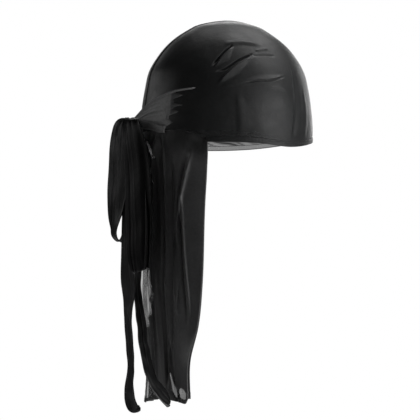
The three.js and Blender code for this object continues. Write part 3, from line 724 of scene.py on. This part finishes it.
def closed_piece(name, points, quads, uv, weights):
    """An object from points in millimetres, with texture coordinates and named
    weights for each point. Points that coincide are joined."""
    mesh = bpy.data.meshes.new(name)
    mesh.from_pydata((points * MM).tolist(), [], quads.tolist())
    for label, values in weights.items():
        attribute = mesh.attributes.new(label, "FLOAT", "POINT")
        attribute.data.foreach_set("value", values.astype(np.float32))
    layer = mesh.uv_layers.new(name="cloth")
    corners = np.zeros(len(mesh.loops), np.int32)
    mesh.loops.foreach_get("vertex_index", corners)
    layer.data.foreach_set("uv", uv[corners].reshape(-1).astype(np.float32))
    shape = bmesh.new()
    shape.from_mesh(mesh)
    bmesh.ops.remove_doubles(shape, verts=shape.verts, dist=JOIN_DISTANCE)
    bmesh.ops.recalc_face_normals(shape, faces=shape.faces)
    shape.to_mesh(mesh)
    shape.free()
    mesh.shade_smooth()
    piece = bpy.data.objects.new(name, mesh)
    bpy.context.scene.collection.objects.link(piece)
    return piece


def cloth(name, points, thickness, sheer=0.0, depth=0.5, painted_shading=0.0):
    """A closed sheet of cloth from a grid of points in millimetres. Depth is the
    share of the thickness that lies behind the grid. Sheer lets light through.
    The painted shading darkens the colour as painted shade, or lightens it as painted
    light where it is negative."""
    n = surface_normals(points)
    thick = np.broadcast_to(thickness, points.shape[:2])[..., None]
    sides = [points + n * thick * (1 - depth), points - n * thick * depth]
    nu, nv = points.shape[:2]
    numbers = np.arange(2 * nu * nv).reshape(2, nu, nv)
    front, rear = numbers
    quads = [
        np.stack([front[:-1, :-1], front[1:, :-1], front[1:, 1:], front[:-1, 1:]], -1),
        np.stack([rear[:-1, :-1], rear[:-1, 1:], rear[1:, 1:], rear[1:, :-1]], -1),
    ]
    quads = [q.reshape(-1, 4) for q in quads]
    quads.append(np.stack([front[:-1, 0], rear[:-1, 0], rear[1:, 0], front[1:, 0]], -1))
    quads.append(np.stack([front[1:, -1], rear[1:, -1], rear[:-1, -1], front[:-1, -1]], -1))
    quads.append(np.stack([front[0, 1:], rear[0, 1:], rear[0, :-1], front[0, :-1]], -1))
    quads.append(np.stack([front[-1, :-1], rear[-1, :-1], rear[-1, 1:], front[-1, 1:]], -1))
    verts = np.concatenate([side.reshape(-1, 3) for side in sides])
    weights = {
        label: np.tile(np.broadcast_to(values, (nu, nv)).reshape(-1), 2)
        for label, values in (("sheer", sheer), ("painted_shading", painted_shading))
    }
    u, v = np.meshgrid(lengths(points, 0), lengths(points, 1), indexing="ij")
    uv = np.tile(np.stack([u, v], -1).reshape(-1, 2), (2, 1))
    return closed_piece(name, verts, np.concatenate(quads), uv, weights)


def finish_piece(piece, material, node_name):
    """Gives a piece its material and its place in the frame."""
    piece.data.materials.append(material)
    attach(piece, "root")
    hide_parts(node_name)
    return piece


# Materials: distances in metres

THREAD_PITCH = 0.0007
THREAD_SLANT = 0.35
RIB_PITCH = 0.0011
RIB_SLANT = 0.2
WEAVE_STRENGTH = 0.35
WEAVE_HEIGHT = 0.00006
CREASE_STRENGTH = 0.5
CREASE_HEIGHT = 0.0012
DARKEST_SHARE = 0.65
LIGHTEST_SHARE = 1.4
SEE_THROUGH = 0.5


def satin(name, base, rough, see_through=0.0, level=0.14):
    """Black satin: fine diagonal weave, small creases and a soft uneven gloss. Where
    see_through is given, it is clear by that share wherever sheer is 1."""
    material = bpy.data.materials.new(name)
    material.use_nodes = True
    nodes, links = material.node_tree.nodes, material.node_tree.links
    nodes.clear()

    def node(kind, **values):
        made = nodes.new(kind)
        for key, value in values.items():
            setattr(made, key, value)
        return made

    def math(operation, a, b=0.0):
        made = node("ShaderNodeMath", operation=operation)
        for socket, value in zip(made.inputs, (a, b)):
            if isinstance(value, bpy.types.NodeSocket):
                links.new(value, socket)
            else:
                socket.default_value = value
        return made.outputs[0]

    def noise(source, scale, detail, rough_share=0.5):
        made = node("ShaderNodeTexNoise")
        made.inputs["Scale"].default_value = scale
        made.inputs["Detail"].default_value = detail
        made.inputs["Roughness"].default_value = rough_share
        links.new(source, made.inputs["Vector"])
        return made.outputs["Fac"]

    place = node("ShaderNodeTexCoord").outputs["Object"]
    uv = node("ShaderNodeUVMap", uv_map="cloth").outputs["UV"]
    split = node("ShaderNodeSeparateXYZ")
    links.new(uv, split.inputs[0])
    u, v = split.outputs["X"], split.outputs["Y"]

    slanted = math("ADD", u, math("MULTIPLY", v, THREAD_SLANT))
    threads = math("SINE", math("MULTIPLY", slanted, 2 * np.pi / THREAD_PITCH))
    slanted = math("SUBTRACT", v, math("MULTIPLY", u, RIB_SLANT))
    ribs = math("SINE", math("MULTIPLY", slanted, 2 * np.pi / RIB_PITCH))
    weave_height = math("MULTIPLY", math("ADD", threads, math("MULTIPLY", ribs, 0.6)), 0.5)

    large = noise(place, 9, 3)
    small = noise(place, 60, 4, 0.55)
    mottle = noise(place, 420, 2)

    ramp = node("ShaderNodeValToRGB")
    stops = ((0.3, DARKEST_SHARE), (0.72, LIGHTEST_SHARE))
    for element, (position, share) in zip(ramp.color_ramp.elements, stops):
        element.position = position
        element.color = (*[c * share for c in base], 1)
    links.new(math("ADD", math("MULTIPLY", large, 0.7), math("MULTIPLY", mottle, 0.3)), ramp.inputs[0])

    gloss = node("ShaderNodeMapRange")
    gloss.inputs["From Min"].default_value = 0.3
    gloss.inputs["From Max"].default_value = 0.7
    gloss.inputs["To Min"].default_value = rough - 0.05
    gloss.inputs["To Max"].default_value = rough + 0.07
    links.new(small, gloss.inputs["Value"])

    creases = node("ShaderNodeBump")
    creases.inputs["Strength"].default_value = CREASE_STRENGTH
    creases.inputs["Distance"].default_value = CREASE_HEIGHT
    links.new(small, creases.inputs["Height"])
    fine = node("ShaderNodeBump")
    fine.inputs["Strength"].default_value = WEAVE_STRENGTH
    fine.inputs["Distance"].default_value = WEAVE_HEIGHT
    links.new(weave_height, fine.inputs["Height"])
    links.new(creases.outputs[0], fine.inputs["Normal"])

    shader = node("ShaderNodeBsdfPrincipled")
    shader.inputs["Specular IOR Level"].default_value = level
    shader.inputs["Sheen Weight"].default_value = 0.02
    shader.inputs["Sheen Roughness"].default_value = 0.4
    shader.inputs["Anisotropic"].default_value = 0.35
    # Painted shade and painted light: the point weight darkens the base colour, or lightens it where
    # it is negative
    painted_shading = node("ShaderNodeAttribute", attribute_name="painted_shading").outputs["Fac"]
    dimmed = node("ShaderNodeVectorMath", operation="SCALE")
    links.new(ramp.outputs[0], dimmed.inputs[0])
    links.new(math("SUBTRACT", 1.0, painted_shading), dimmed.inputs["Scale"])
    links.new(dimmed.outputs[0], shader.inputs["Base Color"])
    links.new(gloss.outputs[0], shader.inputs["Roughness"])
    links.new(fine.outputs[0], shader.inputs["Normal"])

    surface = shader.outputs[0]
    if see_through:
        clear = node("ShaderNodeBsdfTransparent")
        mix = node("ShaderNodeMixShader")
        thin = node("ShaderNodeAttribute", attribute_name="sheer").outputs["Fac"]
        links.new(math("MULTIPLY", thin, see_through), mix.inputs[0])
        links.new(shader.outputs[0], mix.inputs[1])
        links.new(clear.outputs[0], mix.inputs[2])
        surface = mix.outputs[0]
    links.new(surface, node("ShaderNodeOutputMaterial").inputs["Surface"])
    return material


CROWN_SATIN = satin("crown_satin", (0.008, 0.0083, 0.0085), 0.4, SEE_THROUGH)
# The tail's satin is the same black cloth made lighter: painted light on the tail where it lies in
# shade
TAIL_PAINTED_LIGHT_SATIN = satin("tail_satin_painted_light", (0.03, 0.03, 0.0305), 0.42, SEE_THROUGH, level=0.22)
TIE_SATIN = satin("tie_satin", (0.0115, 0.0115, 0.012), 0.36, level=0.05)
# The wings' satin is the same black cloth made lighter: painted light for the light the wings catch
WING_PAINTED_LIGHT_SATIN = satin("wing_satin_painted_light", (0.09, 0.09, 0.0905), 0.46, level=0.2)


# Pieces


def spaced(places, counts):
    """Numbers from the first place to the last, with a count for each stretch."""
    runs = [np.linspace(a, b, n, endpoint=False) for a, b, n in zip(places, places[1:], counts)]
    return np.concatenate([*runs, [places[-1]]])


def rim_streaks(x, rise):
    """Slanted darker streaks in the sheer cloth near the rim."""
    slant = rise + 0.3 * x + 1.5 * np.sin(x / 7)
    broad = bump((np.mod(slant, 11.0) - 5) / 2.2) * bump((x - 25) / 55)
    narrow = bump((np.mod(slant * 0.7 + 3, 7.0) - 3) / 1.2) * 0.7
    return np.maximum(broad, narrow)


def crown_panel(sign, columns, rows):
    """One crown panel with its tucks, from the brow to the back. Columns and rows
    count its points in each stretch round the crown and up it."""
    turn = sign * np.radians(spaced((0, 52, 122, 180), columns))
    climb = spaced((0, 0.24, 0.66, 1), rows)
    tt, cc = np.meshgrid(turn, climb, indexing="ij")
    smooth = crown_point(tt, cc)
    n = surface_normals(smooth)
    n *= np.sign((n * smooth).sum(-1, keepdims=True))
    n[:, -1] = (0, 0, 1)
    rise = smooth[..., 2]
    x, y = smooth[..., 0], smooth[..., 1]
    lift = PANEL_WAVE * waves(x / 60, rise / 60 + y / 90, 3 + sign)
    tucks = tuck_height(tt, rise) * (1 if sign < 0 else LEFT_TUCK_SHARE)
    fade = smoothstep(rise, 2, 16) * smoothstep(1 - cc, 0, 0.12)
    off_seam = smoothstep(np.abs(y), 2.5, 12)
    points = smooth + n * ((lift + tucks) * fade * off_seam)[..., None]
    points[..., 1] = sign * np.maximum(sign * points[..., 1], PANEL_GAP)
    points[:, -1] = (0, sign * PANEL_GAP, points[0, -1, 2])
    sheer = 1 - smoothstep(rise, RIM_SHEER_FULL, RIM_SHEER_END)
    sheer = sheer * (1 if sign > 0 else NEAR_RIM_SHEER)
    sheer = sheer * (1 - 0.75 * rim_streaks(x, rise))
    side = side_name(sign)
    piece = cloth(f"crown_cloth_{side}", points[::sign], CLOTH, sheer[::sign], depth=1)
    return finish_piece(piece, CROWN_SATIN, f"crown_{side}")


def crown_seam():
    """The raised seam, a soft rounded welt with a groove along each side."""
    climb = np.linspace(0, 1, 130)
    front = crown_point(np.zeros_like(climb), climb)
    back = crown_point(np.full_like(climb, np.pi), climb)[::-1][1:]
    path = np.concatenate([front, back])
    tangent = np.gradient(path, axis=0)
    n = np.stack([tangent[:, 2], 0 * tangent[:, 0], -tangent[:, 0]], 1)
    n /= np.linalg.norm(n, axis=1, keepdims=True)
    n *= np.sign((n * path).sum(1, keepdims=True))
    share = np.linspace(-1, 1, 13)
    profile = bump(share) - 0.2 * bump(share / 0.25)
    run = np.arange(len(path))[:, None]
    height = SEAM_HEIGHT * (1 - 0.6 * smoothstep(run, 100, 170))
    ripple = SEAM_RIPPLE * np.sin(run * 1.3) * (1 - share**2)
    grid = path[:, None, :] + n[:, None, :] * (height * profile[None, :] + ripple)[..., None]
    grid[..., 1] = share * SEAM_WIDTH / 2
    piece = cloth("crown_seam_welt", grid, SEAM_CLOTH, depth=1)
    return finish_piece(piece, CROWN_SATIN, "crown_seam")


def brow_hem():
    """The narrow turned hem of the brow, with small puckers from its stitching."""
    end = np.radians(HEM_END_TURN)
    turn = np.linspace(-end, end, 460)
    share = np.linspace(0, 1, 15)
    tt, ss = np.meshgrid(turn, share, indexing="ij")
    low, high = rim_height(tt), crown_edge(tt) + HEM_OVERLAP
    height = lerp(high, low, ss)
    tuck = -HEM_TUCK * (1 - smoothstep(ss, 0, 0.25))
    swell = HEM_SWELL * smoothstep(ss, 0.1, 0.6)
    pucker = PUCKER * np.sin(tt * 150) * bump((ss - 0.45) / 0.35)
    stitch = -STITCH_DEPTH * bump((ss - 0.32) / 0.1)
    plan = crown_plan(tt, np.maximum(height, 0), tuck + swell + pucker + stitch)
    plan[..., 2] = height
    sheer = 0.95 * (1 - smoothstep(ss, 0.84, 0.95)) * lerp(0.1, 1, smoothstep(tt, -0.3, 0.3))
    piece = cloth("brow_hem_roll", plan, HEM_CLOTH, sheer, depth=0.9)
    return finish_piece(piece, CROWN_SATIN, "brow_hem")


def tie_wing(sign):
    """The gathered root of a tie, with painted shade on the fingers where it leaves the crown."""
    on_crown = np.linspace(0, WING_LEAVE_SHARE, 90)
    along = np.concatenate([on_crown, np.linspace(WING_LEAVE_SHARE, 0.99, 60)[1:]])
    up = np.linspace(0, 1, 84)
    aa, uu = np.meshgrid(along, up, indexing="ij")
    points = wing_point(sign, aa, uu)
    side = side_name(sign)
    degrees = lerp(WING_START_TURN, WING_LEAVE_TURN, np.minimum(aa / WING_LEAVE_SHARE, 1))
    # Painted shade on the fingers, taking back much of the wing satin's painted light there
    on_fingers = (1 - smoothstep(degrees, 145.5, 147.5)) * (1 - smoothstep(uu, 0.92, 0.95))
    painted_shading = FINGER_PAINTED_SHADE * on_fingers
    piece = cloth(f"tie_wing_gathers_{side}", points[::-sign], CLOTH, painted_shading=painted_shading[::-sign])
    return finish_piece(piece, WING_PAINTED_LIGHT_SATIN, f"tie_wing_{side}")


def tail():
    """The pleated tail with its folded right edge, its hem and its sheer places."""
    across = np.concatenate(
        [np.linspace(-3, -2, 40), np.linspace(-2, -1, 12)[1:], np.linspace(-1, 1, 276)[1:]]
    )
    fall = np.concatenate([np.linspace(0, 0.9, 110), np.linspace(0.9, 1, 34)[1:]])
    aa, ff = np.meshgrid(across, fall, indexing="ij")
    points = tail_point(aa, ff)
    above_hem = (1 - ff) * TAIL_DROP
    hem_top = TAIL_HEM_HEIGHT - TAIL_HEM_EDGE
    thick = CLOTH + TAIL_HEM_STEP * (1 - smoothstep(above_hem, hem_top, TAIL_HEM_HEIGHT))
    sheer = tail_sheer(aa, ff) * smoothstep(above_hem, TAIL_SHEER_STOP, TAIL_SHEER_STOP + 1)
    # Painted shade darkens the tail's top at the right beside the seam, and painted light lightens it
    # under the wing
    painted_shade_at_seam = (1 - smoothstep(ff, 0.03, 0.13)) * (1 - smoothstep(aa, -0.5, -0.4))
    painted_light_under_wing = (1 - smoothstep(ff, 0.04, 0.16)) * bump((aa + 0.12) / 0.3)
    painted_shading = TAIL_TOP_PAINTED_SHADE * painted_shade_at_seam - TAIL_TOP_PAINTED_LIGHT * painted_light_under_wing
    piece = cloth("tail_cloth", points, thick, sheer, painted_shading=painted_shading)
    return finish_piece(piece, TAIL_PAINTED_LIGHT_SATIN, "tail")


def inside(x, y, corners, soft):
    """About 1 inside a shape with these corners, and 0 outside it. Soft is half the
    width of its edge."""
    crossings = np.zeros(x.shape, int)
    nearest = np.full(x.shape, 9.0)
    for (ax, ay), (bx, by) in zip(corners, np.roll(corners, -1, 0)):
        spans = (ay > y) != (by > y)
        cut = ax + (y - ay) * (bx - ax) / (by - ay if by != ay else 1e-9)
        crossings += spans & (x < cut)
        dx, dy = bx - ax, by - ay
        t = np.clip(((x - ax) * dx + (y - ay) * dy) / (dx * dx + dy * dy), 0, 1)
        nearest = np.minimum(nearest, np.hypot(x - ax - t * dx, y - ay - t * dy))
    signed = np.where(crossings % 2 == 1, nearest, -nearest)
    return smoothstep(signed, -soft, soft)


def tail_sheer(across, fall):
    """Where the tail is one thin layer that light comes through."""
    x, y = across * TAIL_HALF_WIDTH, fall * TAIL_DROP
    total = np.zeros_like(fall)
    for strength, soft, corners in THIN_PLACES:
        place = inside(x, y, np.array(corners) * (TAIL_HALF_WIDTH, TAIL_DROP), soft)
        total = np.maximum(total, strength * place)
    return total * (0.9 + 0.15 * waves(across * 5, fall * 12, 21))


def knot():
    """The knot: cloth wound round twice, with the pleats drawn tight."""
    turn = np.linspace(0, 2 * np.pi, 121)
    tilt = np.linspace(-np.pi / 2, np.pi / 2, 61)
    tt, ee = np.meshgrid(turn, tilt, indexing="ij")
    unit = np.stack([np.cos(ee) * np.cos(tt), np.cos(ee) * np.sin(tt), np.sin(ee)], -1)
    y, z = unit[..., 1], unit[..., 2]
    groove = bump((y + 0.45 * z) / 0.28) + bump((y - 0.8 * z - 0.5) / 0.25)
    winding = y + 0.45 * z + 0.15 * np.sin(2.5 * tt)
    pleats = 1 - np.abs(np.sin(winding * 9))
    pleated = KNOT_PLEAT * pleats**1.5 * (1 - groove.clip(0, 1))
    radius = KNOT_RADIUS * (1 - KNOT_GROOVE * groove) + pleated
    points = KNOT + unit * KNOT_STRETCH * radius[..., None]
    nu, nv = points.shape[:2]
    numbers = np.arange(nu * nv).reshape(nu, nv)
    quads = np.stack([numbers[:-1, :-1], numbers[1:, :-1], numbers[1:, 1:], numbers[:-1, 1:]], -1)
    uv = np.stack([tt, ee], -1).reshape(-1, 2) * KNOT_RADIUS * MM
    piece = closed_piece("tie_knot_cloth", points.reshape(-1, 3), quads.reshape(-1, 4), uv, {})
    return finish_piece(piece, TIE_SATIN, "tie_knot")


def tie(kind, sign, rows, drop, width, facing, folds, seed):
    """A loop or an end of the bow, with painted shade from one edge to the other."""
    points = ribbon_points(rows, sign, drop, width, facing, folds, seed)
    painted_shading = np.linspace(*folds.get("edge_painted_shade", (0, 0)), TIE_ACROSS)
    side = side_name(sign)
    piece = cloth(f"{kind}_cloth_{side}", points, TIE_CLOTH, painted_shading=painted_shading)
    return finish_piece(piece, TIE_SATIN, f"{kind}_{side}")


# Folds of the ties. A tie curls and bends at its edges by so many millimetres, and
# its ripple is their unevenness. Each row is a fold's place across, its depth, its
# half width and how far it drifts. Its two edges are darkened by painted shade, by the
# two shares given, and round is the share of its length that its rounded tip takes.
RIGHT_LOOP_FOLDS = {
    # Painted shade across the loop, heavier at one edge
    "edge_painted_shade": (0.95, 0.35),
    "curl": -2.5,
    "bend": 7,
    "ripple": 0.7,
    "rows": [
        (-0.3, 1.0, 0.5, 0.16),
        (0.5, -1.3, 0.18, 0.04),
        (0.68, 1.8, 0.1, 0.03),
        (0.1, -0.8, 0.3, 0.1),
    ],
}
LEFT_LOOP_FOLDS = {
    # Painted shade across the loop, heavier at one edge
    "edge_painted_shade": (0.85, 0.5),
    "curl": -1.5,
    "bend": 5,
    "ripple": 0.8,
    "rows": [(-0.5, 1.0, 0.5, 0.16), (0.1, 1.4, 0.3, 0.1), (0.5, -1.8, 0.22, 0.06)],
}
RIGHT_END_FOLDS = {
    "curl": 2,
    "round": 0.03,
    "ripple": 0.8,
    "rows": [(-0.3, 1.3, 0.5, 0.16), (0.4, -1.1, 0.4, 0.12)],
}
LEFT_END_FOLDS = {**RIGHT_END_FOLDS, "curl": -2}

TIES = [
    # kind, sign, rows, drop, width, facing, folds, seed
    ("bow_loop", -1, RIGHT_LOOP, RIGHT_LOOP_DROP, RIGHT_LOOP_WIDTH, -20, RIGHT_LOOP_FOLDS, 5),
    ("bow_loop", 1, LEFT_LOOP, LEFT_LOOP_DROP, LEFT_LOOP_WIDTH, -8, LEFT_LOOP_FOLDS, 6),
    ("tie_end", -1, RIGHT_END, RIGHT_END_DROP, END_WIDTH, 0, RIGHT_END_FOLDS, 7),
    ("tie_end", 1, LEFT_END, LEFT_END_DROP, END_WIDTH, -6, LEFT_END_FOLDS, 8),
]

crown_right = crown_panel(-1, (40, 170, 60), (26, 100, 28))
crown_left = crown_panel(1, (40, 110, 40), (24, 80, 24))
seam = crown_seam()
hem = brow_hem()
wing_right = tie_wing(-1)
wing_left = tie_wing(1)
tail_piece = tail()
knot()
loop_right, loop_left, end_right, end_left = [tie(*row) for row in TIES]


# Stage, light and camera

FLOOR_Z = -0.56
FLOOR_SIZE = 3.6
NEAR_LIGHT = 0.01
FAR_LIGHT = 0.07
LIGHT_DISTANCE = 1.7
LIT_PLACE = (0, 0, 0.05)
CAMERA_AZIMUTH = -20
CAMERA_ELEVATION = -2
CAMERA_DISTANCE = 2.4
PICTURE_PIXELS = 420
PIXEL_SIZE = 1.12 * MM
SENSOR_WIDTH = 36
AIM_RIGHT = -0.0213
AIM_UP = -0.0706

LIGHTS = [
    # name, degrees to the camera's right, degrees up, size, power
    ("key", 63, 10, (0.8, 0.8), 19),
    ("key_high", 82, 44, (0.8, 0.8), 13),
    ("top", 120, 60, (0.8, 0.8), 17),
    ("over", 180, 72, (0.8, 0.8), 7),
    ("behind", 180, 30, (0.8, 0.8), 6),
    ("left", -80, 14, (0.8, 0.8), 6),
    ("back_left", -110, 13, (0.5, 0.6), 4),
    ("rim_left", -150, 22, (0.8, 0.8), 1.5),
    ("rim_back", -172, 12, (0.8, 0.8), 1.2),
    ("rim_right", 150, 10, (0.75, 0.75), 6),
    ("low_right", 70, -20, (0.8, 0.8), 20),
]


def direction(azimuth, elevation):
    """A unit vector toward these angles. Azimuth 0 is the wearer's right."""
    turn, climb = np.radians(azimuth), np.radians(elevation)
    return Vector((np.sin(turn) * np.cos(climb), -np.cos(turn) * np.cos(climb), np.sin(climb)))


def floor():
    """A white paper floor, well below the tail."""
    bpy.ops.mesh.primitive_plane_add(size=FLOOR_SIZE, location=(0, 0, FLOOR_Z))
    plane = bpy.context.object
    plane.name = "floor"
    material = bpy.data.materials.new("floor_paper")
    material.use_nodes = True
    shader = material.node_tree.nodes["Principled BSDF"]
    shader.inputs["Base Color"].default_value = (0.86, 0.86, 0.86, 1)
    shader.inputs["Roughness"].default_value = 0.9
    plane.data.materials.append(material)


def softbox(name, right_of_camera, height_angle, size, power):
    """A soft panel light that faces the object from these angles."""
    toward = direction(CAMERA_AZIMUTH + right_of_camera, height_angle)
    place = toward * LIGHT_DISTANCE + Vector(LIT_PLACE)
    data = bpy.data.lights.new(name, "AREA")
    data.shape = "RECTANGLE"
    data.size, data.size_y = size
    data.energy = power
    lamp = bpy.data.objects.new(name, data)
    lamp.location = place
    lamp.rotation_euler = (Vector(LIT_PLACE) - place).to_track_quat("-Z", "Y").to_euler()
    bpy.context.scene.collection.objects.link(lamp)


def world():
    """White to the camera. To the cloth it is a dark studio, lighter beyond it."""
    made = bpy.data.worlds.new("studio")
    made.use_nodes = True
    nodes, links = made.node_tree.nodes, made.node_tree.links
    looking = nodes.new("ShaderNodeTexCoord")
    facing = nodes.new("ShaderNodeVectorMath")
    facing.operation = "DOT_PRODUCT"
    facing.inputs[1].default_value = -direction(CAMERA_AZIMUTH, 0)
    links.new(looking.outputs["Generated"], facing.inputs[0])
    light = nodes.new("ShaderNodeMapRange")
    light.interpolation_type = "SMOOTHSTEP"
    light.inputs["From Min"].default_value = -0.1
    light.inputs["From Max"].default_value = 0.9
    light.inputs["To Min"].default_value = NEAR_LIGHT
    light.inputs["To Max"].default_value = FAR_LIGHT
    links.new(facing.outputs["Value"], light.inputs["Value"])
    path = nodes.new("ShaderNodeLightPath")
    strength = nodes.new("ShaderNodeMix")
    strength.inputs["B"].default_value = 1.0
    links.new(path.outputs["Is Camera Ray"], strength.inputs["Factor"])
    links.new(light.outputs["Result"], strength.inputs["A"])
    back = nodes["Background"]
    back.inputs["Color"].default_value = (1, 1, 1, 1)
    links.new(strength.outputs["Result"], back.inputs["Strength"])
    bpy.context.scene.world = made
    bpy.context.scene.view_settings.view_transform = "Standard"


def camera():
    """The photo's view, a little behind the wearer's right side."""
    back = direction(CAMERA_AZIMUTH, CAMERA_ELEVATION)
    right = direction(CAMERA_AZIMUTH + 90, 0)
    up = back.cross(right)
    aim = right * AIM_RIGHT + up * AIM_UP
    data = bpy.data.cameras.new("camera")
    data.sensor_width = SENSOR_WIDTH
    data.lens = SENSOR_WIDTH * CAMERA_DISTANCE / (PICTURE_PIXELS * PIXEL_SIZE)
    data.clip_end = 20
    made = bpy.data.objects.new("camera", data)
    made.location = aim + back * CAMERA_DISTANCE
    made.rotation_euler = back.to_track_quat("Z", "Y").to_euler()
    bpy.context.scene.collection.objects.link(made)
    bpy.context.scene.camera = made


floor()
world()
for light in LIGHTS:
    softbox(*light)
camera()
